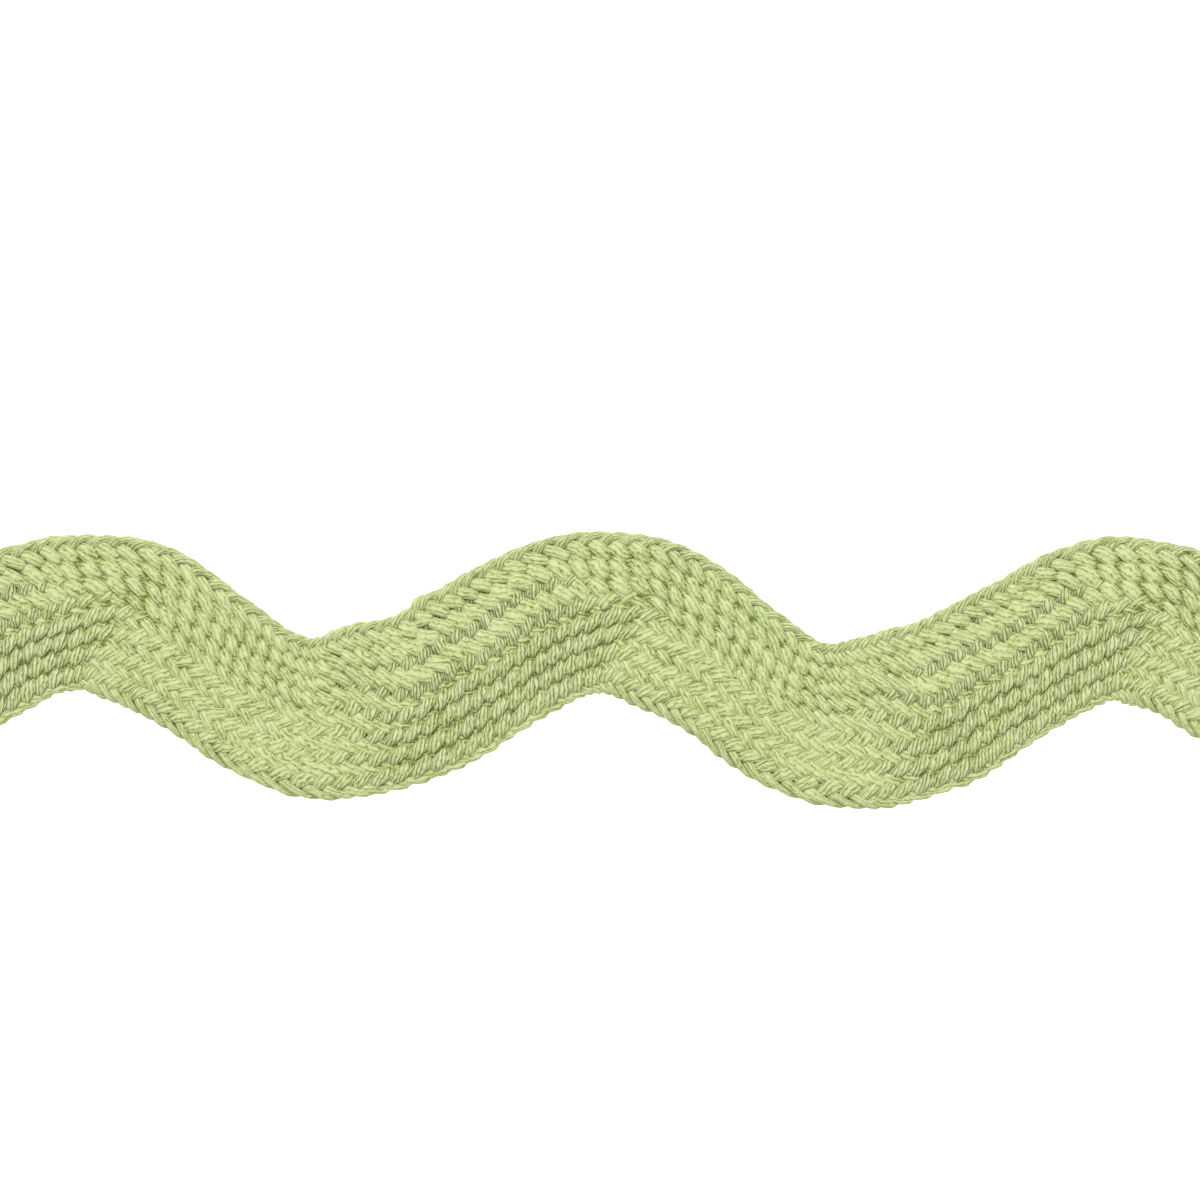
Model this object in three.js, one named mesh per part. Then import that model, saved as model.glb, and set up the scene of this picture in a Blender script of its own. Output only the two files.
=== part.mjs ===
// A cut length of jumbo ric rac: a flat braid of thick, soft cotton yarn that is made in waves.
// Millimetres, +Z up. X runs along the length and Y across the waves, towards the high turns.
// The braid lies on its flat underside, and the origin is there, below the middle of its outline.
import * as THREE from 'three';

// The wave, along the middle of the braid. The places are real sizes from the middle of the length.
const TURNS = [
  { name: 'cut end, low turn', x: -107.7, y: -6.8 },
  { name: 'first high turn', x: -68.0, y: 8.1 },
  { name: 'second low turn', x: -35.7, y: -7.0 },
  { name: 'second high turn', x: 3.7, y: 8.1 },
  { name: 'third low turn', x: 37.5, y: -7.9 },
  { name: 'third high turn', x: 76.2, y: 7.4 },
  { name: 'cut end, low turn', x: 107.7, y: -7.8 },
];
const TURN_LAG = 0.045; // share of a slope by which the braid runs on flat after a turn
const TURN_SOFTNESS = 3.0; // half the stretch over which a turn is rounded

// The braid's width over one wave, which runs from a low turn to the next one.
const WIDTHS = [
  { place: 'low turn', share: 0.0, width: 22.0 },
  { place: 'start of the rise', share: 0.06, width: 23.6 },
  { place: 'middle of the rise', share: 0.27, width: 22.8 },
  { place: 'end of the rise', share: 0.44, width: 21.8 },
  { place: 'high turn', share: 0.53, width: 22.2 },
  { place: 'start of the fall', share: 0.61, width: 23.2 },
  { place: 'middle of the fall', share: 0.75, width: 21.3 },
  { place: 'end of the fall', share: 0.93, width: 20.7 },
  { place: 'next low turn', share: 1.0, width: 22.0 },
];

// The ribs: rows of yarn floats that run along the braid.
const RIBS = 16;
const PITCHES_PER_WAVE = 33; // each of the 33 yarns crosses one rib in one pitch, and so returns in a wave
const TIGHT_TURN = 14.35; // pitches from a low turn to where the middle tight yarn turns at the lower edge
const TIGHT_CORE = 3.5; // yarns within this many pitches of the middle one are drawn in fully
const TIGHT_FADE = 6.5; // and those past this many are slack
const TIGHT_SHARE = 0.2; // breadth of a tight yarn's rib, where a slack one's is 1
const EDGE_SHARE = 0.6; // breadth of the outermost ribs

const THICKNESS = 2.6; // over the tops of the ribs
const GROOVE_THICKNESS = 1.9; // in the grooves between them
const EDGE_HEIGHT = 1.0; // height at which the rounded edges are widest
const EDGE_ROUNDING = 0.5; // how far the underside stays inside the edges

const STEPS_PER_SLOPE = 22;

const COTTON_GREEN = 0xb9c488;

function ease(t) {
  return (1 - Math.cos(Math.PI * t)) / 2;
}

// Height of the middle line between the two turns around x, before the turns are rounded.
function slopeHeight(x) {
  const last = TURNS.length - 1;
  const inside = Math.min(Math.max(x, TURNS[0].x), TURNS[last].x);
  const next = Math.max(1, TURNS.findIndex((turn) => turn.x >= inside));
  const [from, to] = [TURNS[next - 1], TURNS[next]];
  const t = (inside - from.x) / (to.x - from.x);
  return from.y + (to.y - from.y) * ease(t - 4 * TURN_LAG * t * (1 - t));
}

function middleHeight(x) {
  return (slopeHeight(x - TURN_SOFTNESS) + 2 * slopeHeight(x) + slopeHeight(x + TURN_SOFTNESS)) / 4;
}

function widthAt(share) {
  const next = Math.max(1, WIDTHS.findIndex((row) => row.share >= share));
  const [from, to] = [WIDTHS[next - 1], WIDTHS[next]];
  return from.width + (to.width - from.width) * ease((share - from.share) / (to.share - from.share));
}

// Stations along the middle line, each with the braid's left-hand normal and its share of its wave.
function layStations() {
  const stations = [];
  for (let slope = 0; slope + 1 < TURNS.length; slope += 1) {
    for (let step = slope === 0 ? 0 : 1; step <= STEPS_PER_SLOPE; step += 1) {
      const x = THREE.MathUtils.lerp(TURNS[slope].x, TURNS[slope + 1].x, step / STEPS_PER_SLOPE);
      const rise = (middleHeight(x + 0.1) - middleHeight(x - 0.1)) / 0.2;
      const normal = new THREE.Vector2(-rise, 1).normalize();
      stations.push({ place: new THREE.Vector2(x, middleHeight(x)), normal });
    }
  }
  shareOutWaves(stations);
  return stations;
}

function shareOutWaves(stations) {
  const perWave = 2 * STEPS_PER_SLOPE;
  stations[0].share = 0;
  for (let first = 0; first + 1 < stations.length; first += perWave) {
    let run = 0;
    const runs = [];
    for (let i = first + 1; i <= first + perWave; i += 1) {
      run += stations[i].place.distanceTo(stations[i - 1].place);
      runs.push(run);
    }
    runs.forEach((length, i) => {
      stations[first + 1 + i].share = length / run;
    });
  }
}

// How tightly the yarn is drawn that shows in a rib, from 0, slack, to 1. Yarns of the odd ribs climb
// to the upper edge from their turn at the lower one, and yarns of the even ribs sink the other way.
function tightness(rib, pitch) {
  const climbs = rib % 2 === 1;
  const sinceTurn = climbs ? RIBS + 1 - rib : rib;
  const middleTurn = climbs ? TIGHT_TURN : TIGHT_TURN + PITCHES_PER_WAVE / 2;
  const away = Math.abs(THREE.MathUtils.euclideanModulo(
    pitch - sinceTurn - middleTurn + PITCHES_PER_WAVE / 2, PITCHES_PER_WAVE) - PITCHES_PER_WAVE / 2);
  return 1 - THREE.MathUtils.smoothstep(away, TIGHT_CORE, TIGHT_FADE);
}

function ribBreadths(pitch) {
  const breadths = [];
  for (let rib = 1; rib <= RIBS; rib += 1) {
    const full = rib === 1 || rib === RIBS ? EDGE_SHARE : 1;
    breadths.push(full * THREE.MathUtils.lerp(1, TIGHT_SHARE, tightness(rib, pitch)));
  }
  return breadths;
}

// One section across the braid: x is the distance to the left of the middle line, y the height.
function sectionAt(share) {
  const width = widthAt(share);
  const breadths = ribBreadths(share * PITCHES_PER_WAVE);
  const total = breadths.reduce((sum, breadth) => sum + breadth, 0);
  const section = [
    new THREE.Vector2(-width / 2 + EDGE_ROUNDING, 0),
    new THREE.Vector2(width / 2 - EDGE_ROUNDING, 0),
    new THREE.Vector2(width / 2, EDGE_HEIGHT),
  ];
  let reached = 0;
  breadths.forEach((breadth, i) => {
    const top = GROOVE_THICKNESS + (THICKNESS - GROOVE_THICKNESS) * breadth;
    section.push(new THREE.Vector2(width * (0.5 - (reached + breadth / 2) / total), top));
    reached += breadth;
    if (i < RIBS - 1) {
      section.push(new THREE.Vector2(width * (0.5 - reached / total), GROOVE_THICKNESS));
    }
  });
  section.push(new THREE.Vector2(-width / 2, EDGE_HEIGHT));
  return section;
}

function addWalls(faces, stationCount, ringCount) {
  for (let station = 0; station + 1 < stationCount; station += 1) {
    for (let i = 0; i < ringCount; i += 1) {
      const a = station * ringCount + i;
      const b = station * ringCount + (i + 1) % ringCount;
      faces.push(a, b, a + ringCount);
      faces.push(b, b + ringCount, a + ringCount);
    }
  }
}

function addCutEnd(faces, section, firstVertex, facesForward) {
  for (const [a, b, c] of THREE.ShapeUtils.triangulateShape(section, [])) {
    const corners = facesForward ? [a, b, c] : [a, c, b];
    faces.push(...corners.map((corner) => firstVertex + corner));
  }
}

function braidGeometry() {
  const stations = layStations();
  const sections = stations.map((station) => sectionAt(station.share));
  const ringCount = sections[0].length;
  const vertices = [];
  stations.forEach(({ place, normal }, i) => {
    for (const point of sections[i]) {
      vertices.push(place.x + normal.x * point.x, place.y + normal.y * point.x, point.y);
    }
  });
  const faces = [];
  addWalls(faces, stations.length, ringCount);
  addCutEnd(faces, sections[0], 0, false);
  addCutEnd(faces, sections.at(-1), (stations.length - 1) * ringCount, true);
  const geometry = new THREE.BufferGeometry();
  geometry.setAttribute('position', new THREE.Float32BufferAttribute(vertices, 3));
  geometry.setIndex(faces);
  geometry.computeBoundingBox();
  const middle = geometry.boundingBox.getCenter(new THREE.Vector3());
  geometry.translate(-middle.x, -middle.y, 0);
  geometry.computeVertexNormals();
  return geometry;
}

const cotton = new THREE.MeshStandardMaterial({ color: COTTON_GREEN, roughness: 0.9, metalness: 0 });
const braid = new THREE.Mesh(braidGeometry(), cotton);
braid.name = 'braid';

const ricRac = new THREE.Group();
ricRac.add(braid);

export default ricRac;
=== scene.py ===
# %% [markdown]
# # A cut length of jumbo ric rac
# Ric rac is a flat braid of soft cotton yarn. A few of its yarns are drawn tight as it is braided, and
# they pull it into even waves. A smooth band with a bumpy finish would have the outline, but not the
# rows that swell and sink along each wave. So this lesson loads the plain solid of the braid, braids
# 33 yarns in its place one by one, and last spins the cotton and lights it from above.

# %% Load the frame
import math

import bpy
import numpy as np
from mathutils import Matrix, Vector


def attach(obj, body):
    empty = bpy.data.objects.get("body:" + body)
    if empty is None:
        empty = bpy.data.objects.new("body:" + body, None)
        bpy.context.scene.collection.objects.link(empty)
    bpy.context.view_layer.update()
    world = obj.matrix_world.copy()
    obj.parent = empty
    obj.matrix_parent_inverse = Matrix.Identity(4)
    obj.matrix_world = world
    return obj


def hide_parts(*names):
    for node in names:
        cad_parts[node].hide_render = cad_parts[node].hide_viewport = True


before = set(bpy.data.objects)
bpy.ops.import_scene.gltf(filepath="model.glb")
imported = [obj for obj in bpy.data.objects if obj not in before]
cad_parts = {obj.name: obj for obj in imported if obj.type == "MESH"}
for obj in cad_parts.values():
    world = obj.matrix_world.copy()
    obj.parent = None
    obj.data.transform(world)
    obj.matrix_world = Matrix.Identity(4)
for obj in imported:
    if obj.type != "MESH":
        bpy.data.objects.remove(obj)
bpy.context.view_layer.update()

MM = 0.001
bpy.ops.object.select_all(action="DESELECT")

# %% [markdown]
# ## The wave
# The middle of the braid swings between high and low turns, and its width changes a little with them.
# It could be drawn as a curve by hand. Here it is a table of measured turns instead, with half a cosine
# wave between two of them, because the solid has the same table and the yarns have to land in it.

# %% Measure the turns
# Places and heights are in millimetres from the middle of the length. The first turn is a low one.
HIGH_AND_LOW_TURNS = [
    (-107.7, -6.8), (-68.0, 8.1), (-35.7, -7.0), (3.7, 8.1), (37.5, -7.9), (76.2, 7.4), (107.7, -7.8),
]
TURN_LAG = 0.045  # how much longer a slope stays near the turn that it comes from
TURN_SOFTNESS = 3.0  # millimetres to each side that soften a turn
# Each row is a share of the wave from one low turn to the next, and a width in millimetres.
WIDTH_OVER_WAVE = [
    (0.0, 22.0), (0.06, 23.6), (0.27, 22.8), (0.44, 21.8), (0.53, 22.2),
    (0.61, 23.2), (0.75, 21.3), (0.93, 20.7), (1.0, 22.0),
]


def ease(t):
    return (1 - np.cos(np.pi * t)) / 2


def eased(rows, at, lag=0.0):
    """The value at each place, from rows of (place, value), with a soft slope from row to row."""
    places, values = (np.array(column) for column in zip(*rows))
    at = np.clip(at, places[0], places[-1])
    row = np.clip(np.searchsorted(places, at, side="left"), 1, len(places) - 1)
    t = (at - places[row - 1]) / (places[row] - places[row - 1])
    t = t - 4 * lag * t * (1 - t)
    return values[row - 1] + (values[row] - values[row - 1]) * ease(t)


def slope_height(x):
    return eased(HIGH_AND_LOW_TURNS, x, TURN_LAG)


def middle_height(x):
    return (slope_height(x - TURN_SOFTNESS) + 2 * slope_height(x) + slope_height(x + TURN_SOFTNESS)) / 4


print("height of the middle over the high turn, in millimetres:", round(float(middle_height(3.7)), 2))

# %% [markdown]
# ## The uneven edges
# No hand lays a braid quite evenly. Its edges swing out and in by up to a millimetre where a yarn lies
# loose or tight. Noise would do for a made-up braid, but these edges follow the real one, so each edge
# has a short table of its own.

# %% Let the edges wander
# Each row is a pitch, counted in yarns along the braid, and millimetres outwards.
UPPER_DRIFT = [
    (14, 0.5), (16, -0.2), (19, -0.35), (22.5, 0.35), (24, 0.4), (25.5, 0.0), (28, -0.1), (30.5, 0.55),
    (33.5, 0.33), (36, 0.7), (40, -0.2), (41, -0.1), (42, 0.6), (43.2, 0.0), (47, 0.4), (54, -0.15),
    (57, 0.3), (59, 0.0), (62, -0.1), (64, 0.65), (70, 0.5), (73, -0.25), (78, -0.8), (82, 0.0),
    (84, 0.35), (86, -0.2), (87, 0.0),
]
LOWER_DRIFT = [
    (14, -0.85), (18, -0.4), (23, 0.45), (28, -0.05), (31, 0.0), (33, 0.3), (35.2, -0.65), (40, 0.15),
    (45, 0.45), (50, 0.0), (53, -0.25), (55, 0.4), (59, 0.0), (61.5, 0.45), (66, 0.5), (69, 0.1),
    (72, 0.45), (74.5, -0.2), (79, 0.35), (82, 0.35), (87, 0.5),
]
print("widest drift, in millimetres:", max(abs(out) for _, out in UPPER_DRIFT + LOWER_DRIFT))

# %% [markdown]
# ## The middle line
# A yarn has to know where it is by two numbers: how many pitches along the braid, and what share
# across it. So the middle line is cut into fine stations, each with its pitch, its place, the way to
# its left and its width. There are 33 pitches from one low turn to the next, one for each yarn.

# %% Lay the middle line
THICKNESS = 2.6
PITCHES_PER_WAVE = 33
WAVES = 3
BRAID_PITCHES = WAVES * PITCHES_PER_WAVE
STATION_STEP = 0.05
SLOPE_REACH = 0.1


def lay_middle_line():
    """Fine stations along the braid: pitch number, x, y, left-hand normal, width and drift."""
    first, last = HIGH_AND_LOW_TURNS[0][0], HIGH_AND_LOW_TURNS[-1][0]
    x = np.arange(first, last + STATION_STEP / 2, STATION_STEP)
    y = middle_height(x)
    slope = (middle_height(x + SLOPE_REACH) - middle_height(x - SLOPE_REACH)) / (2 * SLOPE_REACH)
    run = np.concatenate([[0], np.cumsum(np.hypot(np.diff(x), np.diff(y)))])
    low_turns = np.array([turn[0] for turn in HIGH_AND_LOW_TURNS[::2]])
    pitch = np.interp(run, np.interp(low_turns, x, run), np.arange(WAVES + 1) * PITCHES_PER_WAVE)
    steep = np.hypot(slope, 1)
    width = eased(WIDTH_OVER_WAVE, np.mod(pitch / PITCHES_PER_WAVE, 1.0))
    return dict(pitch=pitch, x=x, y=y, nx=-slope / steep, ny=1 / steep, width=width, run=run,
                upper=eased(UPPER_DRIFT, pitch), lower=eased(LOWER_DRIFT, pitch))


middle_line = lay_middle_line()
print("length along the braid, in millimetres:", round(float(middle_line["run"][-1]), 1))

# %% [markdown]
# ## Any point of the braid
# The solid has the middle of its box at the origin, so the yarns are shifted by the same amount. Past
# the cut ends the line runs straight on. A yarn can be laid a little too long there and then trimmed.

# %% Find a point of the braid


def edge_box_middle():
    """The middle of the box around both even edges, which the solid has at its origin."""
    half = middle_line["width"] / 2
    xs = [middle_line["x"] + side * half * middle_line["nx"] for side in (-1, 1)]
    ys = [middle_line["y"] + side * half * middle_line["ny"] for side in (-1, 1)]
    return (np.min(xs) + np.max(xs)) / 2, (np.min(ys) + np.max(ys)) / 2


MIDDLE_X, MIDDLE_Y = edge_box_middle()


def on_braid(pitch, across):
    """Points in millimetres at a pitch along the braid and a share across it, 0 at the upper edge."""
    keys = ("x", "y", "nx", "ny", "width", "upper", "lower")
    line = {key: np.interp(pitch, middle_line["pitch"], middle_line[key]) for key in keys}
    past = pitch - np.clip(pitch, 0, BRAID_PITCHES)
    pitch_length = middle_line["run"][-1] / BRAID_PITCHES
    left = line["width"] * (0.5 - across) + line["upper"] * (1 - across) - line["lower"] * across
    x = line["x"] + left * line["nx"] + past * pitch_length * line["ny"]
    y = line["y"] + left * line["ny"] - past * pitch_length * line["nx"]
    return np.stack([x - MIDDLE_X, y - MIDDLE_Y], axis=-1)


print("middle of the first cut end, in millimetres:", on_braid(0.0, 0.5).round(2))

# %% [markdown]
# ## The camera
# The braid is seen from straight above, from far enough away that its edges show almost no
# perspective. The camera stands over a point a little above the middle of the waves, because the
# braid lies in the lower half of the picture.

# %% Place the camera
VIEW_WIDTH = 166.8
VIEW_MIDDLE = (4.1, 9.7)
SENSOR_WIDTH = 36.0
LENS = 100.0

camera_data = bpy.data.cameras.new("camera")
camera_data.sensor_width = SENSOR_WIDTH
camera_data.lens = LENS
camera = bpy.data.objects.new("camera", camera_data)
bpy.context.scene.collection.objects.link(camera)
camera.location = Vector((
    VIEW_MIDDLE[0] - MIDDLE_X, VIEW_MIDDLE[1] - MIDDLE_Y, THICKNESS + VIEW_WIDTH * LENS / SENSOR_WIDTH,
)) * MM
bpy.context.scene.camera = camera
print("the camera, in metres:", tuple(round(v, 4) for v in camera.location))

# %% [markdown]
# ## Where yarns hide
# In a flat braid each yarn runs slantwise to one edge, turns, and runs back to the other. The face
# shows 16 ribs side by side. A yarn passes over two others in one rib and under two in the next, so
# the odd ribs show yarns that climb to the upper edge, and the even ribs show yarns that sink from it.
# With 16 ribs there are 33 yarns, and each is back at its start after 33 pitches, which is one wave.
# The tight yarns pull straight across between the inner corners. Where they cross the slack ones they
# go under, and the slack ones swell over them: into rows of ovals on the falls, and into rows that
# look like ropes on the rises.
#
# A zone with a sharp border would tear the rows apart there, so every zone fades in and out.

# %% Fade in and out
RIBS = 16
YARNS = 33


def wrapped(pitch):
    """A distance in pitches brought between minus and plus half a wave."""
    return np.mod(pitch + PITCHES_PER_WAVE / 2, PITCHES_PER_WAVE) - PITCHES_PER_WAVE / 2


def fade_in(value, limits):
    """0 below the first limit, 1 above the second, and a smooth step between them."""
    low, high = limits
    t = np.clip((value - low) / (high - low), 0, 1)
    return t * t * (3 - 2 * t)


def fade_out(value, limits):
    return 1 - fade_in(value, limits)


print("a fade from 2 to 4, at 1, 3 and 5:", fade_in(np.array([1, 3, 5]), (2, 4)))

# %% [markdown]
# ## The three zones
# Each zone is a soft patch, worked out from the pitch and the rib, rather than a mask drawn by hand. So
# every yarn can ask how deep in a zone it lies, wherever it is on its way.

# %% Mark the zones where yarns hide
# Pitches count from a low turn, and ribs from the upper edge.
OVAL_MIDDLE = 27.2
OVAL_RIB, OVAL_REACH = 5, 10.75  # half the length of the zone of ovals is given at this rib
OVAL_TAPER = 1.1  # how much shorter that is for each rib further down
FLARE_RIB, OVAL_FLARE = 4, 4.5  # how much longer for each rib above this one
OVAL_FADE = 2
OVAL_TOP, OVAL_FOOT = (1.3, 2.6), (9.4, 10.8)
ROPE_RIB, ROPE_MIDDLE = 9, 12.4  # the middle of the zone of ropes is given at this rib
ROPE_SLANT = 0.35  # how much nearer to the low turn that is for each rib further down
ROPE_REACH, ROPE_TOP, ROPE_FOOT = (6.2, 10.2), (6.8, 8.6), (16.2, 17.2)
STITCH_MIDDLE, STITCH_REACH = 9.5, (6.5, 10.5)
STITCH_TOP, STITCH_FOOT = (2.5, 3.5), (6.7, 7.7)


def hidden_climbing(pitch, rib):
    """How far the climbing yarns go under, from 0 to 1: on the upper half of the falls."""
    flare = OVAL_FLARE * np.clip(FLARE_RIB - rib, 0, 1)
    reach = OVAL_REACH - OVAL_TAPER * (rib - OVAL_RIB) + flare
    along = fade_out(np.abs(wrapped(pitch - OVAL_MIDDLE)), (reach - OVAL_FADE, reach + OVAL_FADE))
    return along * fade_in(rib, OVAL_TOP) * fade_out(rib, OVAL_FOOT)


def hidden_sinking(pitch, rib):
    """How far the sinking yarns go under, from 0 to 1: on the lower half of the rises."""
    middle = ROPE_MIDDLE - ROPE_SLANT * (rib - ROPE_RIB)
    along = fade_out(np.abs(wrapped(pitch - middle)), ROPE_REACH)
    return along * fade_in(rib, ROPE_TOP) * fade_out(rib, ROPE_FOOT)


def short_stitches(pitch, rib):
    """Where the sinking yarns lie flat and broad between short climbing stitches, from 0 to 1."""
    along = fade_out(np.abs(wrapped(pitch - STITCH_MIDDLE)), STITCH_REACH)
    return along * fade_in(rib, STITCH_TOP) * fade_out(rib, STITCH_FOOT)


print("hidden at rib 5 and rib 12, on a fall:", hidden_climbing(27.0, 5.0), hidden_climbing(27.0, 12.0))

# %% [markdown]
# ## The breadth of the ribs
# A rib is broad where its yarns lie on top and narrow where they hide, so the rows draw together and
# part again along the wave. The breadths are worked out on a grid over one wave, added up across the
# braid, and scaled so that the last rib always ends at the lower edge.

# %% Plan the ribs
EDGE_RIB = 0.6  # how near to an edge, in ribs, a yarn comes as it turns
HIDDEN_NARROWING = 0.38  # how much narrower a rib is where one family is hidden
UPPER_NARROWING, LOWER_NARROWING = 0.55, 0.2  # the same for the ribs at each edge
UPPER_REACH, LOWER_REACH = 1.8, 0.8  # how far in from each edge that starts, in ribs
OVAL_BROADENING, ROPE_BROADENING = 0.45, 0.15  # how much broader the shown ribs are than the hidden ones
STITCH_BROADENING = 0.45  # how much broader the ribs of flat floats are than those of stitches
PLAN_PITCHES, PLAN_RIBS = 265, 241


def plan_ribs():
    """The share across the braid that each rib position reaches, for each pitch of one wave."""
    pitches = np.linspace(0, PITCHES_PER_WAVE, PLAN_PITCHES)
    ribs = np.linspace(EDGE_RIB, RIBS + 1 - EDGE_RIB, PLAN_RIBS)
    pitch, rib = np.meshgrid(pitches, ribs, indexing="ij")
    ovals, ropes = hidden_climbing(pitch, rib), hidden_sinking(pitch, rib)
    breadth = 1 - HIDDEN_NARROWING * np.maximum(ovals, ropes)
    breadth = breadth * (1 - UPPER_NARROWING * np.clip(UPPER_REACH - rib, 0, 1))
    breadth = breadth * (1 - LOWER_NARROWING * np.clip(rib - RIBS + LOWER_REACH, 0, 1))
    evenness = np.cos(np.pi * rib)  # 1 in the even ribs and -1 in the odd ones
    breadth = breadth + STITCH_BROADENING * short_stitches(pitch, rib) * evenness
    breadth = breadth + OVAL_BROADENING * ovals * evenness
    breadth = breadth - ROPE_BROADENING * ropes * evenness
    steps = (breadth[:, 1:] + breadth[:, :-1]) / 2
    reached = np.concatenate([np.zeros((len(pitches), 1)), np.cumsum(steps, axis=1)], axis=1)
    return reached / reached[:, -1:]


rib_plan = plan_ribs()
print("points in the plan of the ribs:", rib_plan.shape)

# %% [markdown]
# ## From pitch and rib to a place
# The rows of crossings don't stand square to the braid: they lean, and the lean swings along each
# wave as the tight yarns pull. The plan is read between its grid points, so that a yarn runs smoothly.

# %% Look up the plan
SKEW_MEAN, SKEW_SWING = 0.03, 0.15  # pitches that the rows shift along for each rib across
SKEW_MIDDLE = 8.85  # pitches from a low turn to the middle of the rise
YARN_INSET = 0.018  # share of the width between an edge and the middle of a yarn that turns there


def skew(pitch):
    return SKEW_MEAN - SKEW_SWING * np.cos(2 * np.pi * (pitch - SKEW_MIDDLE) / PITCHES_PER_WAVE)


def leaning(pitch, rib):
    """The pitch that a yarn reaches at a rib, once its row leans."""
    return pitch + skew(pitch) * (rib - (RIBS + 1) / 2)


def share_across(pitch, rib):
    """The share of the width at a pitch and a rib, read from the plan."""
    row = np.mod(pitch, PITCHES_PER_WAVE) / PITCHES_PER_WAVE * (rib_plan.shape[0] - 1)
    column = np.clip((rib - EDGE_RIB) / (RIBS + 1 - 2 * EDGE_RIB), 0, 1) * (rib_plan.shape[1] - 1)
    r, c = (np.minimum(v.astype(int), n - 2) for v, n in zip((row, column), rib_plan.shape))
    fr, fc = row - r, column - c
    low = rib_plan[r, c] * (1 - fc) + rib_plan[r, c + 1] * fc
    high = rib_plan[r + 1, c] * (1 - fc) + rib_plan[r + 1, c + 1] * fc
    return YARN_INSET + (1 - 2 * YARN_INSET) * (low * (1 - fr) + high * fr)


print("share across of ribs 1, 8 and 16:", share_across(np.zeros(3), np.array([1.0, 8.0, 16.0])).round(3))

# %% [markdown]
# ## The way of one yarn
# Seen from above, a yarn runs nearly straight from edge to edge and makes a round turn there. Its
# height follows a flattened wave: up for two crossings, down for two, and level through each turn. The
# flatter the wave, the longer and tighter the yarn lies on top. Each formula takes many pitches at
# once, because a yarn is traced from one cut end to the other in a single call.

# %% Follow a yarn from edge to edge
TURN_START = 0.25  # how far from the border of the first rib the middle of a turn is, in ribs
TURN_SPREAD = EDGE_RIB - TURN_START
FIRST_FLOAT = 0.75  # pitches from a turn to the middle of the first float
CRIMP_FLATNESS = 3.0


def follow_yarn(pitch, turn):
    """Whether a yarn climbs, the pitches since it left its last edge, and the rib that it is at."""
    since = np.mod(pitch - turn, PITCHES_PER_WAVE)
    climbing = since >= YARNS / 2
    t = np.where(climbing, since - YARNS / 2, since)
    left = YARNS / 2 - t
    from_turn = TURN_START + np.hypot(t, TURN_SPREAD)
    to_turn = RIBS + 1 - TURN_START - np.hypot(left, TURN_SPREAD)
    travelled = np.where(t < left, from_turn, to_turn)
    return climbing, t, np.where(climbing, RIBS + 1 - travelled, travelled)


def crimp(t, roundness):
    """1 on the face and -1 underneath, t pitches after a turn at an edge."""
    left = YARNS / 2 - t
    wave = -np.cos(np.pi * (t - FIRST_FLOAT))
    wave = np.where(t < FIRST_FLOAT, -np.sin(np.pi / 2 * t / FIRST_FLOAT), wave)
    wave = np.where(left < FIRST_FLOAT, np.sin(np.pi / 2 * left / FIRST_FLOAT), wave)
    flat = np.tanh(CRIMP_FLATNESS * wave) / math.tanh(CRIMP_FLATNESS)
    return wave * roundness + flat * (1 - roundness)


print("ribs reached 0, 4 and 12 pitches after a turn:", follow_yarn(np.array([0.0, 4.0, 12.0]), 0)[2])

# %% [markdown]
# ## Slack and tight
# What makes the look of ric rac is that the same yarn lies tight here and slack there. A climbing yarn
# is slackest on the rises and a sinking one on the falls, and both are slack at the edges. A slack
# yarn stands up round and steep, and a tight one lies long and flat.

# %% Say how slack a yarn lies
STEEPEST_CLIMB, STEEPEST_SINK = 9.5, 23.0  # pitches from a low turn
STEEP_LEVEL, STEEP_SWING = 0.3, 1.2
STEEP_EDGE, EDGE_STEEPNESS = (1.2, 2.4), 0.9  # ribs from an edge, and the least that it has there


def steepness(pitch, steepest):
    swing = STEEP_LEVEL + STEEP_SWING * np.cos(2 * np.pi * (pitch - steepest) / PITCHES_PER_WAVE)
    return ease(np.clip(swing, 0, 1))


def ribs_from_edge(rib):
    return np.minimum(rib, RIBS + 1 - rib)


def looseness(pitch, rib, climbing):
    """How far a yarn hides, how far the ones that it crosses hide, and how steep it stands."""
    there = leaning(pitch, rib)
    climbers, sinkers = hidden_climbing(there, rib), hidden_sinking(there, rib)
    own = np.where(climbing, climbers, sinkers)
    crossed = np.where(climbing, sinkers, climbers)
    steep = np.where(climbing, steepness(there, STEEPEST_CLIMB), steepness(there, STEEPEST_SINK))
    near_edge = fade_out(ribs_from_edge(rib), STEEP_EDGE)
    return own, crossed, np.maximum(steep, EDGE_STEEPNESS * near_edge)


print("steepness of a climbing yarn on a rise and on a fall:", steepness(np.array([9.5, 26.0]), 9.5))

# %% [markdown]
# ## Where a yarn lies
# The floats of a slack yarn lean away from the straight way, and a tight one keeps to it or lies flatter
# still. So the yarn gets a small lag that goes forth and back once in each rib. It is different for
# the plain weave, the short stitches, the ropes and the ovals. A last shared wander keeps neighbours
# a little uneven together, because noise of their own would push them into each other.

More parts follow.
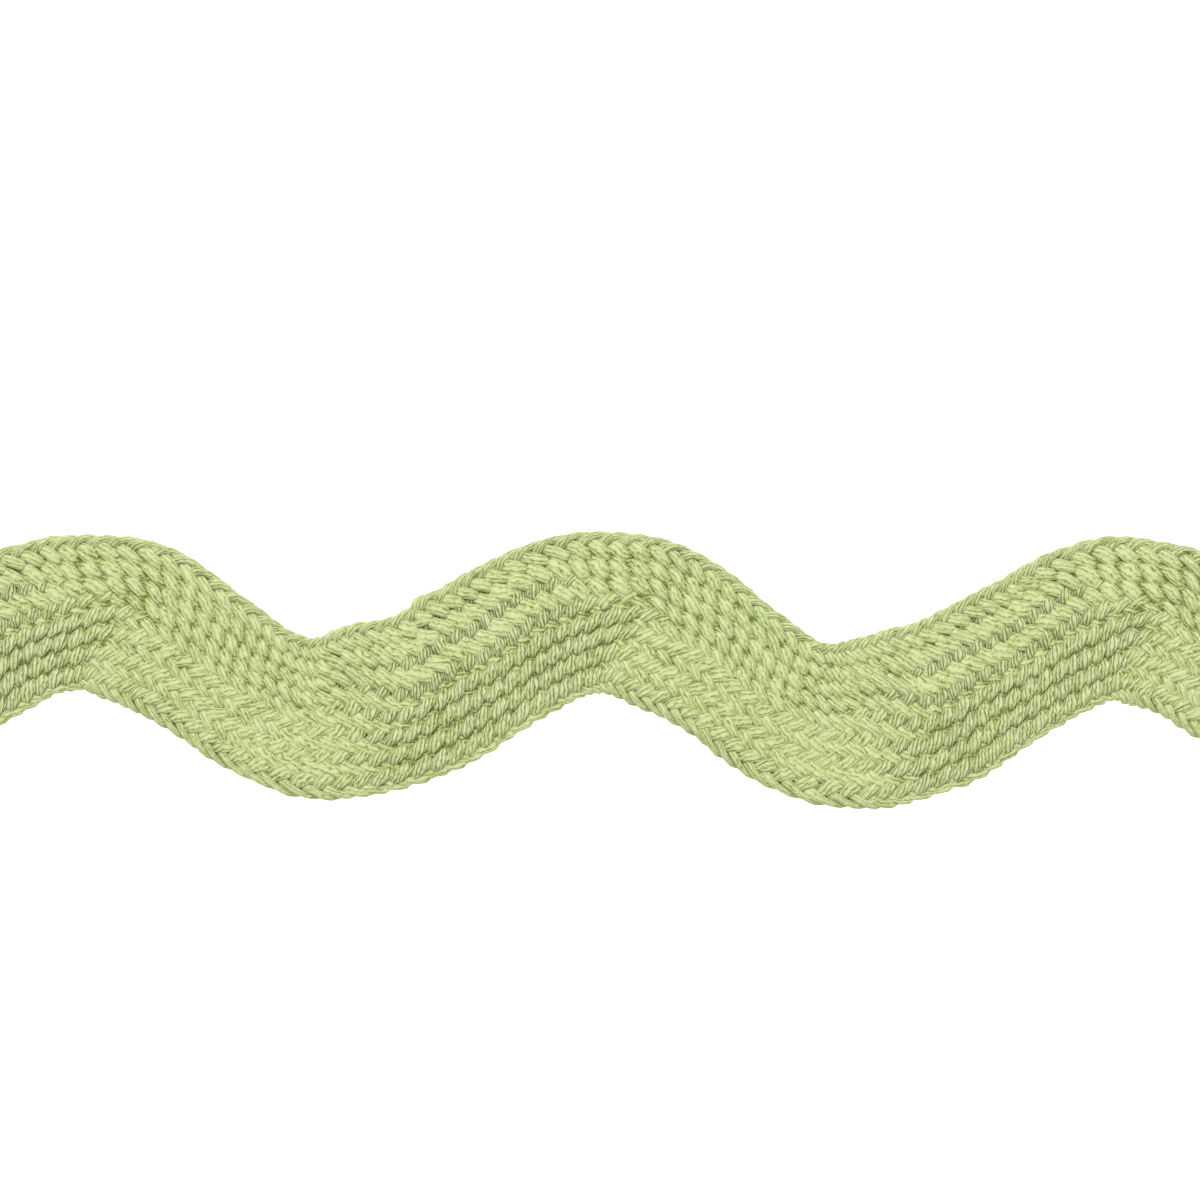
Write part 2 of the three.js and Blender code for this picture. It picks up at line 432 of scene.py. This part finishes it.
# %% Place a yarn
ROW_WANDER, PITCH_WANDER = 0.007, 0.12  # share of the width, and pitches
WANDER_WAVES = [(0.31, 0.17, 0.0), (0.73, -0.29, 2.1), (1.13, 0.41, 4.4), (0.52, 0.63, 1.3)]
ROW_START, PITCH_START = 1.0, 5.0  # where on those waves each of the two wanders begins
LAG_START = 0.25  # pitches from a turn to where the lag sets in
CLIMBING_LAG, SINKING_LAG = -0.15, -0.4  # in pitches, for tight yarns
STITCH_LAG, ROPE_LAG, OVAL_LAG = 0.3, -0.2, 0.25
STITCH_STEP = 0.15  # ribs that a stitch steps across, beside its way along
SINKING_STITCH = 0.25  # how much of a stitch a steep sinking yarn makes
CROSSED_ROUNDNESS, ROPE_FLATNESS, SINKING_ROUNDNESS = 0.4, 0.6, 0.7
SLIM_EDGE = (0.8, 1.9)  # ribs from an edge between which a yarn slims for its turn
TIGHT_TWIST, SLACK_TWIST, STITCH_TWIST = 0.14, 0.6, 0.4  # radians for each millimetre of a yarn
SINKING_TWIST, EDGE_UNTWISTING = 0.06, 0.8
SINKING_SLACK = 0.3


def wander(along, rib, start):
    """An uneven drift of about unit size that neighbouring yarns share."""
    return sum(np.sin(a * along + r * rib + p * start + start) for a, r, p in WANDER_WAVES) / 2


def yarn_place(pitch, turn):
    """Where a yarn lies, how high, how far it hides, how slack it is, its twist and its edge share."""
    climbing, t, rib = follow_yarn(pitch, turn)
    own, crossed, steep = looseness(pitch, rib, climbing)
    rope = crossed * (1 - own)
    stitch = np.where(climbing, steep * (1 - rope), SINKING_STITCH * steep)
    to_and_fro = np.clip(t, LAG_START, YARNS / 2 - LAG_START) - FIRST_FLOAT
    ripple = np.sin(2 * np.pi * to_and_fro) / (2 * np.pi) * (1 - own)
    lag = np.where(climbing, CLIMBING_LAG, SINKING_LAG) * (1 - steep) + STITCH_LAG * stitch
    lag = lag + np.where(climbing, ROPE_LAG, OVAL_LAG) * rope
    rib = rib + np.where(climbing, -1, 1) * STITCH_STEP * stitch * ripple
    along = leaning(pitch, rib) - lag * ripple
    share = share_across(along, rib) + ROW_WANDER * wander(along, rib, ROW_START)
    plan = on_braid(along + PITCH_WANDER * wander(along, rib, PITCH_START), share)

    slack = np.maximum(steep, rope)
    rope_roundness = np.maximum(CROSSED_ROUNDNESS * crossed, steep * (1 - ROPE_FLATNESS * rope))
    roundness = np.where(climbing, rope_roundness, SINKING_ROUNDNESS * steep)
    edge = fade_out(ribs_from_edge(rib), SLIM_EDGE)
    twist = np.where(climbing, TIGHT_TWIST + SLACK_TWIST * slack + STITCH_TWIST * stitch, SINKING_TWIST)
    return dict(
        along=along, plan=plan, height=crimp(t, roundness), hidden=own, edge=edge,
        slack=slack * (1 - own) * np.where(climbing, 1, SINKING_SLACK),
        twist=twist + (SINKING_TWIST - twist) * EDGE_UNTWISTING * edge)


start_of_yarn = yarn_place(np.array([0.0]), 0)
print("the first yarn starts at, in millimetres:", start_of_yarn["plan"].round(2))

# %% [markdown]
# ## The room beside a yarn
# Loose cotton fills the room that it gets. That room is the distance to the next yarn, square to the
# way, and it is smoothed so that a yarn doesn't pinch. Spun yarn is never even either, so there is a
# smooth noise too, drawn from a seeded generator so that each run gives the same braid.

# %% Measure the room beside a yarn
ROOM_REACH, ROOM_SOFTNESS = 3, 2  # steps to each side that share their room, and that soften it


def smooth_noise(random, count, reach):
    """Values of about unit size that wander over a reach in steps, up to just before the last knot."""
    knots = random.normal(size=int(count / reach) + 3)
    at = np.linspace(0, len(knots) - 1.001, count)
    k = at.astype(int)
    f = ease(at - k)
    return knots[k] * (1 - f) + knots[k + 1] * f


def shifted(values, reach):
    return [np.roll(values, shift) for shift in range(-reach, reach + 1)]


def room_beside(plan, neighbour):
    """How far apart a yarn and its neighbour run, smoothed over a few steps."""
    ahead = np.gradient(plan, axis=0)
    ahead /= np.linalg.norm(ahead, axis=1)[:, None]
    gap = neighbour - plan
    room = np.abs(gap[:, 0] * ahead[:, 1] - gap[:, 1] * ahead[:, 0])
    return np.mean(shifted(np.max(shifted(room, ROOM_REACH), axis=0), ROOM_SOFTNESS), axis=0)


sample_pitches = np.arange(0.0, 16.0)
sample_plan, next_plan = (yarn_place(sample_pitches + n, n)["plan"] for n in (0, 1))
sample_room = room_beside(sample_plan, next_plan)
print("room beside a yarn, in millimetres:", sample_room.min().round(2), sample_room.max().round(2))

# %% [markdown]
# ## The thickness of a yarn
# A yarn is as broad as its room allows, slimmer at the edges where it turns, and thinner underneath
# others. What it gains in breadth it loses in height. Where it hides, it runs almost level through the
# middle of the braid, and everywhere else it swings as far up and down as its thickness leaves room.

# %% Trace a yarn
STEPS_PER_PITCH = 7
RUN_OUT = 8  # pitches that a yarn is traced past each cut end before it is trimmed
FILL, SLACK_ROOM = 0.6, 0.05  # share of the distance to a neighbour, and what a slack yarn leaves free
LEAST_HALF_WIDTH, SLACK_GAIN, MOST_HALF_WIDTH = 0.72, 0.23, 1.2
EDGE_SLIMMING = 0.42  # how much slimmer a yarn lies where it turns at an edge
SLACK_HALF_WIDTH, SLACK_HALF_HEIGHT = 0.9, 0.56
LEAST_HALF_HEIGHT, MOST_HALF_HEIGHT = 0.52, 0.62
HIDDEN_HALF_WIDTH, HIDDEN_HALF_HEIGHT = 0.85, 0.5
HIDDEN_CRIMP = 0.1  # millimetres up and down where a yarn stays hidden
WIDTH_NOISE, HEIGHT_NOISE, PLAN_NOISE = 0.06, 0.03, 0.04
WIDTH_NOISE_REACH = 1.2  # pitches


def trace_yarn(turn, random):
    """A yarn from end to end: its middle line, half width, half height, twist and edge share."""
    pitch = np.arange(-RUN_OUT, BRAID_PITCHES + RUN_OUT, 1 / STEPS_PER_PITCH)
    yarn = yarn_place(pitch, turn)
    hidden, slack, plan = yarn["hidden"], yarn["slack"], yarn["plan"]
    room = room_beside(plan, yarn_place(pitch + 1, turn + 1)["plan"])
    count = len(pitch)
    fill = room * (FILL - SLACK_ROOM * slack)
    half_width = np.clip(fill, LEAST_HALF_WIDTH + SLACK_GAIN * slack, MOST_HALF_WIDTH)
    half_width = half_width * (1 - EDGE_SLIMMING * yarn["edge"])
    noise = smooth_noise(random, count, STEPS_PER_PITCH * WIDTH_NOISE_REACH)
    half_width = half_width * (1 + WIDTH_NOISE * noise)
    half_height = SLACK_HALF_WIDTH * SLACK_HALF_HEIGHT / half_width
    half_height = np.clip(half_height, LEAST_HALF_HEIGHT, MOST_HALF_HEIGHT)
    half_width = half_width * (1 - hidden) + HIDDEN_HALF_WIDTH * hidden
    half_height = half_height * (1 - hidden) + HIDDEN_HALF_HEIGHT * hidden
    swing = (THICKNESS / 2 - half_height) * (1 - hidden) + HIDDEN_CRIMP * hidden
    noise = smooth_noise(random, count, STEPS_PER_PITCH)
    z = THICKNESS / 2 + swing * yarn["height"] + HEIGHT_NOISE * (1 - hidden) * noise
    noise = np.stack([smooth_noise(random, count, STEPS_PER_PITCH) for _ in range(2)], axis=1)
    line = np.concatenate([plan + PLAN_NOISE * noise, z[:, None]], axis=1)
    kept = (yarn["along"] >= 0) & (yarn["along"] <= BRAID_PITCHES)
    return [values[kept] for values in (line, half_width, half_height, yarn["twist"], yarn["edge"])]


sample_yarn = trace_yarn(0, np.random.default_rng(1))
print("half width of a yarn, in millimetres:", sample_yarn[1].min().round(2), "to",
      sample_yarn[1].max().round(2))

# %% [markdown]
# ## From a line to a spun yarn
# A yarn is a soft bundle of thin plies that wind slowly around it. A curve with a round bevel can't
# change from round to flat, so each yarn is a tube of rings. The points of each ring turn a little
# further than those of the last one, as the plies do. The table presses the underside flat.

# %% Spin a yarn
SIDES = 18
SIDES_PER_PLY = 3  # sides that swell together
PLY_SWELL, SWELL_REACH = 0.04, 9  # share of the radius, and steps
FULLNESS = 0.82  # 1 for an oval yarn, less for a fuller one
LOWEST_POINT = 0.02


def unit(vectors):
    return vectors / np.linalg.norm(vectors, axis=-1)[..., None]


def spin_yarn(line, half_width, half_height, twist, random):
    """The rings of points of one yarn from end to end, and the run of its length to each ring."""
    ahead = unit(np.gradient(line, axis=0))
    aside = unit(np.cross(np.broadcast_to([0.0, 0.0, 1.0], ahead.shape), ahead))
    above = np.cross(ahead, aside)
    run = np.concatenate([[0], np.cumsum(np.linalg.norm(np.diff(line, axis=0), axis=1))])
    around = np.arange(SIDES) / SIDES * 2 * np.pi
    plies = SIDES // SIDES_PER_PLY
    swell = np.stack([smooth_noise(random, len(line), SWELL_REACH) for _ in range(plies)], axis=1)
    radius = 1 + PLY_SWELL * np.repeat(swell, SIDES_PER_PLY, axis=1)
    turned = np.concatenate([[0], np.cumsum(np.diff(run) * twist[1:])])
    angle = around - turned[:, None] + random.uniform(0, 2 * np.pi)
    wide, tall = (np.sign(v) * np.abs(v) ** FULLNESS for v in (np.cos(angle), np.sin(angle)))
    side = (half_width[:, None] * radius * wide)[..., None] * aside[:, None, :]
    top = (half_height[:, None] * radius * tall)[..., None] * above[:, None, :]
    points = line[:, None, :] + side + top
    points[..., 2] = np.maximum(points[..., 2], LOWEST_POINT)
    return points, run


sample_run = spin_yarn(*sample_yarn[:4], np.random.default_rng(1))[1]
print("length of one yarn, in millimetres:", round(float(sample_run[-1]), 1))

# %% [markdown]
# ## The skin of a yarn
# Quads join each ring to the next. Every corner also gets a place in two UV maps. In the first one, U
# runs along the yarn in millimetres and V around it, so the plies are drawn straight along U. The
# second one, OFBake, lays every yarn in rows of its own with no overlaps, so that the finish can be
# baked there.

# %% Lay out the skin
ROWS_PER_YARN = 4
ROW_MARGIN, SIDE_MARGIN = 0.06, 0.005


def tube_faces(rings, first):
    """Quads between the rings, and the ring and the side that each of their corners is on."""
    ring, side = np.meshgrid(np.arange(rings - 1), np.arange(SIDES), indexing="ij")
    ring, side = ring.ravel(), side.ravel()
    ring_at = np.stack([ring, ring, ring + 1, ring + 1], axis=1)
    side_at = np.stack([side, side + 1, side + 1, side], axis=1)
    return first + ring_at * SIDES + side_at % SIDES, ring_at, side_at


def baking_places(rings, ring_at, side_at, number, yarns):
    """A place of its own for each corner, in the rows that belong to its yarn."""
    per_row = math.ceil((rings - 1) / ROWS_PER_YARN)
    row_on_yarn = ring_at[:, :1] // per_row
    u = SIDE_MARGIN + (1 - 2 * SIDE_MARGIN) * (ring_at - row_on_yarn * per_row) / per_row
    row = row_on_yarn + number * ROWS_PER_YARN
    v = (row + ROW_MARGIN + (1 - 2 * ROW_MARGIN) * side_at / SIDES) / (ROWS_PER_YARN * yarns)
    return np.stack([u, v], axis=-1)


print("quads on one yarn:", len(tube_faces(len(sample_yarn[0]), 0)[0]))

# %% [markdown]
# ## From numbers to a mesh
# Extruding thousands of rings with operators would take hours and leave their UV maps to be unrolled
# by hand. So the points, the corners and both maps are handed to the mesh in one go each, and a flat
# cap closes each cut end.

# %% Make a mesh of yarns
SPARE_PLACE = 0.001  # where the corners of the end caps lie in both maps


def make_mesh(name, vertices, quads, caps, maps):
    """An object from corner lists, whose faces are turned to point outwards."""
    mesh = bpy.data.meshes.new(name)
    turned = quads[:, ::-1]
    ends = []
    for start, end in caps:
        ends.append(np.arange(start, start + SIDES))
        ends.append(np.arange(end, end + SIDES)[::-1])
    spare = len(ends) * SIDES
    mesh.vertices.add(len(vertices))
    mesh.vertices.foreach_set("co", vertices.ravel())
    mesh.loops.add(turned.size + spare)
    mesh.loops.foreach_set("vertex_index", np.concatenate([turned.ravel(), *ends]).astype(np.int32))
    mesh.polygons.add(len(turned) + len(ends))
    starts = np.concatenate([np.arange(len(turned)) * 4, turned.size + np.arange(len(ends)) * SIDES])
    mesh.polygons.foreach_set("loop_start", starts.astype(np.int32))
    for layer, places in maps.items():
        uvs = np.concatenate([places[:, ::-1].reshape(-1, 2), np.full((spare, 2), SPARE_PLACE)])
        mesh.uv_layers.new(name=layer).data.foreach_set("uv", uvs.ravel())
    mesh.update(calc_edges=True)
    mesh.validate()
    mesh.shade_smooth()
    piece = bpy.data.objects.new(name, mesh)
    bpy.context.scene.collection.objects.link(piece)
    return piece


print("sides of each end cap:", SIDES)

# %% [markdown]
# ## Braid the yarns
# The 33 yarns are split into five pieces, each with every fifth yarn, so that no mesh grows too heavy.
# Each point also carries how near to an edge it is and how strongly its yarn is twisted there, which
# the cotton reads later.

# %% Make every yarn
YARN_PIECES = 5
YARN_SEED = 33


def build_yarns(name, turns, random):
    """One mesh of several yarns, with both UV maps and the two values that the cotton reads."""
    vertices, faces, caps, edges, twists = [], [], [], [], []
    maps = {"yarn": [], "OFBake": []}
    total = 0
    for number, turn in enumerate(turns):
        line, half_width, half_height, twist, edge = trace_yarn(turn, random)
        points, run = spin_yarn(line, half_width, half_height, twist, random)
        rings = len(points)
        quads, ring_at, side_at = tube_faces(rings, total)
        vertices.append(points.reshape(-1, 3))
        faces.append(quads)
        maps["yarn"].append(np.stack([run[ring_at], side_at / SIDES + number], axis=-1))
        maps["OFBake"].append(baking_places(rings, ring_at, side_at, number, len(turns)))
        caps.append((total, total + (rings - 1) * SIDES))
        edges.append(np.repeat(edge, SIDES))
        twists.append(np.repeat(twist, SIDES))
        total += rings * SIDES
    maps = {layer: np.concatenate(places) for layer, places in maps.items()}
    piece = make_mesh(name, np.concatenate(vertices) * MM, np.concatenate(faces), caps, maps)
    for attribute, values in (("edge", edges), ("twist", twists)):
        layer = piece.data.attributes.new(attribute, "FLOAT", "POINT")
        layer.data.foreach_set("value", np.concatenate(values))
    return piece


random = np.random.default_rng(YARN_SEED)
yarn_pieces = []
for group in range(YARN_PIECES):
    piece = build_yarns(f"yarns_{group + 1}", range(group, YARNS, YARN_PIECES), random)
    yarn_pieces.append(piece)
    print(piece.name, sum(len(face.vertices) - 2 for face in piece.data.polygons), "triangles")

# %% [markdown]
# ## The inside of the braid
# Between the face and the underside the yarns cross and fill the braid. A thin sheet at half height
# stands for that inside: it keeps light from falling through between the yarns. It is a grid that
# follows the waves, and Solidify gives it its thickness. It stops just short of the cut ends, so that
# only yarns show there.

# %% Make the inner sheet
SHEET_THICKNESS = 0.6
SHEET_INSET = 0.07  # share of the width that is left free at each edge
END_INSET = 0.05  # pitches that are left free at each cut end
SHEET_COLUMNS = 8
SHEET_STEPS_PER_PITCH = 2


def inner_grid():
    """The corners of the sheet in metres, and its faces."""
    rows = BRAID_PITCHES * SHEET_STEPS_PER_PITCH + 1
    columns = SHEET_COLUMNS + 1
    pitches = np.linspace(END_INSET, BRAID_PITCHES - END_INSET, rows)
    shares = np.linspace(SHEET_INSET, 1 - SHEET_INSET, columns)
    along, across = np.meshgrid(pitches, shares, indexing="ij")
    plan = on_braid(along.ravel(), across.ravel())
    height = np.full((len(plan), 1), (THICKNESS - SHEET_THICKNESS) / 2)
    faces = [
        (a, a + 1, a + columns + 1, a + columns)
        for row in range(rows - 1)
        for a in range(row * columns, row * columns + SHEET_COLUMNS)
    ]
    return np.concatenate([plan, height], axis=1) * MM, faces


def inner_sheet():
    points, faces = inner_grid()
    mesh = bpy.data.meshes.new("braid_inside")
    mesh.from_pydata(points.tolist(), [], faces)
    sheet = bpy.data.objects.new("braid_inside", mesh)
    bpy.context.scene.collection.objects.link(sheet)
    bpy.ops.object.select_all(action="DESELECT")
    sheet.select_set(True)
    bpy.context.view_layer.objects.active = sheet
    solidify = sheet.modifiers.new("thickness", "SOLIDIFY")
    solidify.thickness = SHEET_THICKNESS * MM
    solidify.offset = 1
    bpy.ops.object.modifier_apply(modifier=solidify.name)
    bpy.ops.object.shade_smooth()
    return sheet


inside = inner_sheet()
print("the inner sheet has", len(inside.data.polygons), "faces")

# %% [markdown]
# ## Shader maths
# A finish is worked out from a few patterns: add two, weaken a third, mix the rest. Wiring Math nodes
# by hand hides such a formula, so it is written as a Python expression here. A Value wraps a socket,
# and an operator on it adds the Math node.

# %% Wrap a socket


class Value:
    """A number that varies over a surface: the output socket of a node."""

    def __init__(self, nodes, socket):
        self.nodes, self.socket = nodes, socket

    def __add__(self, other):
        return self.nodes.maths_of("ADD", self, other)

    def __sub__(self, other):
        return self.nodes.maths_of("SUBTRACT", self, other)

    def __rsub__(self, other):
        return self.nodes.maths_of("SUBTRACT", other, self)

    def __mul__(self, other):
        return self.nodes.maths_of("MULTIPLY", self, other)

    def __pow__(self, other):
        return self.nodes.maths_of("POWER", self, other)

    def __rpow__(self, other):
        return self.nodes.maths_of("POWER", other, self)

    __radd__, __rmul__ = __add__, __mul__


print("operators that a Value knows:", sum(callable(entry) for entry in vars(Value).values()) - 1)

# %% [markdown]
# ## Other nodes
# All nodes come from one method, add. It takes the type of a node, its settings and what goes into its
# sockets, and gives back what comes out of it, so a finish reads from top to bottom as it is made.

# %% Add nodes


class Nodes:
    """A material's nodes, all made by add."""

    def __init__(self, name):
        self.material = bpy.data.materials.new(name)
        self.material.use_nodes = True
        self.tree = self.material.node_tree
        self.shader = self.tree.nodes["Principled BSDF"]

    def set_inputs(self, node, inputs):
        for key, value in inputs.items():
            if isinstance(value, Value):
                self.tree.links.new(value.socket, node.inputs[key])
            else:
                node.inputs[key].default_value = value

    def add(self, kind, settings=None, inputs=None):
        node = self.tree.nodes.new(kind)
        for key, value in (settings or {}).items():
            if key == "stops":
                self.set_stops(node.color_ramp, value)
            else:
                setattr(node, key, value)
        self.set_inputs(node, inputs or {})
        return {socket.name: Value(self, socket) for socket in node.outputs if socket.enabled}

    def maths_of(self, operation, a, b):
        return self.add("ShaderNodeMath", {"operation": operation}, {0: a, 1: b})["Value"]

    def set_stops(self, ramp, stops):
        while len(ramp.elements) < len(stops):
            ramp.elements.new(1.0)
        for element, (place, colour) in zip(ramp.elements, stops):
            element.position, element.color = place, colour


def uneven(nodes, place, scale, detail):
    inputs = {"Vector": place, "Scale": scale, "Detail": detail}
    return nodes.add("ShaderNodeTexNoise", {}, inputs)["Fac"]


def dyed_and_shaded(nodes, tone, greens):
    return nodes.add("ShaderNodeValToRGB", {"stops": greens}, {"Fac": tone})["Color"]


print("ways to make a node:", uneven.__name__, dyed_and_shaded.__name__, Nodes.add.__name__)

# %% [markdown]
# ## Spun cotton
# The yarn is matt, soft-spun cotton in a pale leaf green. Three things show on it: the plies, which
# stand out where the yarn is twisted, by a bump and by painted shade between them, the long fibres in
# each ply, and patches where the dye took more or less. The plies and the fibres read the UV map along
# the yarn, because a pattern in space would cut across it.

# %% Draw the plies and the fibres
PLIES = 10
PLY_SHARPNESS, PLY_MIDDLE = 0.6, 0.6
PLY_SWAY, SWAY_SCALE = 1.2, (1.5, 8.0)  # in plies, and across the UV map
FIBRE_SCALE, FIBRE_DETAIL = (2.0, 29.0), 4.0
PATCH_SCALE, PATCH_DETAIL = 700.0, 5.0
MM_PER_METRE = 1000
EDGE_LIGHT = 0.8  # how much less the painted shade darkens the cotton at the edges of the braid


def cotton_patterns(nodes):
    """The plies and the fibres of a yarn, and the patches of its dye, each from 0 to about 1."""
    uv = nodes.add("ShaderNodeUVMap", {"uv_map": "yarn"})["UV"]
    split = nodes.add("ShaderNodeSeparateXYZ", {}, {0: uv})
    along, around = split["X"], split["Y"]

    def stretched(scale):
        inputs = {"X": along * scale[0], "Y": around * scale[1]}
        return nodes.add("ShaderNodeCombineXYZ", {}, inputs)["Vector"]

    sway = uneven(nodes, stretched(SWAY_SCALE), 1.0, 1.0)
    ply = nodes.maths_of("PINGPONG", around * PLIES + sway * PLY_SWAY, 0.5) * 2
    fibres = uneven(nodes, stretched(FIBRE_SCALE), 1.0, FIBRE_DETAIL)
    place = nodes.add("ShaderNodeTexCoord")["Object"]
    patches = uneven(nodes, place, PATCH_SCALE, PATCH_DETAIL)
    return ply ** PLY_SHARPNESS, fibres, patches


def painted_crevice_light(nodes):
    """Painted shade: 0 at the middle of the thickness, up to 1 on the face, underside and edges."""
    place = nodes.add("ShaderNodeTexCoord")["Object"]
    height_here = nodes.add("ShaderNodeSeparateXYZ", {}, {0: place})["Z"]
    from_middle = nodes.maths_of("ABSOLUTE", height_here * MM_PER_METRE - THICKNESS / 2, 0)
    edge = nodes.add("ShaderNodeAttribute", {"attribute_name": "edge"})["Fac"]
    return nodes.maths_of("MINIMUM", from_middle + edge * EDGE_LIGHT, 1.0)


print("plies on a yarn:", PLIES)

# %% [markdown]
# ## Dye, nap and painted shade
# Light falls off between the yarns, so painted shade darkens the cotton a little towards the middle of
# the braid's thickness, and the grooves between the plies are painted darker than their tops. All of
# this goes into one tone, which a ramp turns into greens, and one height for the bump. Cotton doesn't
# shine, but its fine nap catches light at a slant, which the sheen gives.

# %% Dye the yarns and paint in their shade
# Of these tones, the first two paint shade between the plies and the last paints shade towards the middle
# of the thickness; the fibres and patches are the cotton's own.
PLY_GROOVE_SHADE, TWIST_GROOVE_SHADE, FIBRE_TONE, PATCH_TONE, PAINTED_CREVICE_TONE = 0.28, 0.3, 0.85, 0.56, 0.45
TONE_SHIFT = 0.485
PLY_HEIGHT, TWIST_HEIGHT, FIBRE_HEIGHT, PATCH_HEIGHT = 0.5, 0.8, 0.7, 0.5
BUMP_DISTANCE = 0.00018
LIT_GREEN = (0.56, 0.62, 0.315, 1)
MID_GREEN = (0.405, 0.468, 0.178, 1)
DEEP_SHADE_GREEN = (0.135, 0.18, 0.035, 1)
# The ramp runs from painted shade in the deep green to painted light in the lit green; the fibres and dye
# patches move the tone along it too.
YARN_GREENS = [(0.38, DEEP_SHADE_GREEN), (0.58, MID_GREEN), (0.78, LIT_GREEN)]
SHEEN_TINT = (0.95, 1.0, 0.55, 1)


def cotton_yarn(name):
    nodes = Nodes(name)
    plies, fibres, patches = cotton_patterns(nodes)
    twist = nodes.add("ShaderNodeAttribute", {"attribute_name": "twist"})["Fac"]
    # Painted shade and light: the grooves between the plies darker and their tops lighter, more where the
    # yarn is twisted.
    tone = (plies - PLY_MIDDLE) * (twist * TWIST_GROOVE_SHADE + PLY_GROOVE_SHADE)
    # Painted shade: the cotton darkens towards the middle of the thickness, and less at the edges of the
    # braid.
    tone = tone + fibres * FIBRE_TONE + patches * PATCH_TONE + painted_crevice_light(nodes) * PAINTED_CREVICE_TONE
    height = plies * (twist * TWIST_HEIGHT + PLY_HEIGHT) + fibres * FIBRE_HEIGHT + patches * PATCH_HEIGHT
    bump = nodes.add(
        "ShaderNodeBump", {}, {"Strength": 1.0, "Distance": BUMP_DISTANCE, "Height": height})["Normal"]
    nodes.set_inputs(nodes.shader, {
        "Base Color": dyed_and_shaded(nodes, tone - TONE_SHIFT, YARN_GREENS), "Roughness": 0.85, "Normal": bump,
        "Sheen Weight": 0.3, "Sheen Roughness": 0.5, "Sheen Tint": SHEEN_TINT, "Specular IOR Level": 0.2,
    })
    return nodes.material


yarn_cotton = cotton_yarn("spun_cotton")
for piece in yarn_pieces:
    piece.data.materials.append(yarn_cotton)
print(yarn_cotton.name, "has", len(yarn_cotton.node_tree.nodes), "nodes")

# %% [markdown]
# ## The cotton inside
# Little of the inner sheet is ever seen, at the cut ends and deep between two yarns. It is the same
# cotton in shade, so a painted shade, a darker mix of the same greens with some fluff, is enough.

# %% Dye the inner sheet in painted shade
FLUFF_SCALE, FLUFF_DETAIL = 900.0, 3.0
# Painted shade: the inner sheet only takes the deep and mid greens.
SHADED_INNER_GREENS = [(0.25, DEEP_SHADE_GREEN), (0.55, MID_GREEN)]


def shaded_inner_cotton(name):
    nodes = Nodes(name)
    fluff = uneven(nodes, nodes.add("ShaderNodeTexCoord")["Object"], FLUFF_SCALE, FLUFF_DETAIL)
    nodes.set_inputs(nodes.shader, {
        "Base Color": dyed_and_shaded(nodes, fluff, SHADED_INNER_GREENS), "Roughness": 0.9, "Specular IOR Level": 0.2})
    return nodes.material


inside.data.materials.append(shaded_inner_cotton("shaded_inner_cotton"))
print("the inner sheet is dyed:", inside.data.materials[0].name)

# %% [markdown]
# ## One piece of cloth
# The braid is one limp length of cloth that lies flat. All its pieces ride with the solid and stand
# for it.

for piece in [inside, *yarn_pieces]:
    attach(piece, "root")
    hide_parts("braid")

# %% [markdown]
# ## The floor
# The braid lies on plain white, with next to no shadow. A white floor under soft lamps still turns out
# a little grey, so this one also glows faintly.

# %% Lay the floor
FLOOR_SIZE = 3.0
FLOOR_WHITE = (0.95, 0.95, 0.95, 1)
FLOOR_GLOW = 0.7

bpy.ops.object.select_all(action="DESELECT")
bpy.ops.mesh.primitive_plane_add(size=FLOOR_SIZE, location=(0, 0, 0))
floor = bpy.context.active_object
floor.name = "floor"
floor_nodes = Nodes("floor_white")
floor_nodes.set_inputs(floor_nodes.shader, {
    "Base Color": FLOOR_WHITE, "Roughness": 0.9, "Specular IOR Level": 0.0,
    "Emission Color": (1, 1, 1, 1), "Emission Strength": FLOOR_GLOW})
floor.data.materials.append(floor_nodes.material)
print("the floor, in metres:", tuple(round(v, 2) for v in floor.dimensions))

# %% [markdown]
# ## The light
# Soft light from the top of the picture shows the relief of the yarns. A wide lamp stands there, a
# weaker one fills the shade from the other side, and the world lights the rest evenly. The view is
# set to Standard, because the usual film look would grey the green.

# %% Light the braid
LAMPS = {  # place in metres, size in metres, power in watts
    "key_lamp": ((0.05, 0.7, 1.0), 0.6, 13.0),
    "fill_lamp": ((-0.4, -0.6, 1.1), 1.0, 4.0),
}
WORLD_STRENGTH = 0.5

for name, (place, size, power) in LAMPS.items():
    lamp_data = bpy.data.lights.new(name, "AREA")
    lamp_data.shape = "SQUARE"
    lamp_data.size = size
    lamp_data.energy = power
    lamp = bpy.data.objects.new(name, lamp_data)
    lamp.location = place
    lamp.rotation_euler = (-Vector(place)).to_track_quat("-Z", "Y").to_euler()
    bpy.context.scene.collection.objects.link(lamp)
    print(name, "at", place, "with", power, "watts")

world = bpy.data.worlds.new("soft_room")
world.use_nodes = True
background = world.node_tree.nodes["Background"]
background.inputs["Color"].default_value = (1, 1, 1, 1)
background.inputs["Strength"].default_value = WORLD_STRENGTH
bpy.context.scene.world = world
bpy.context.scene.view_settings.view_transform = "Standard"
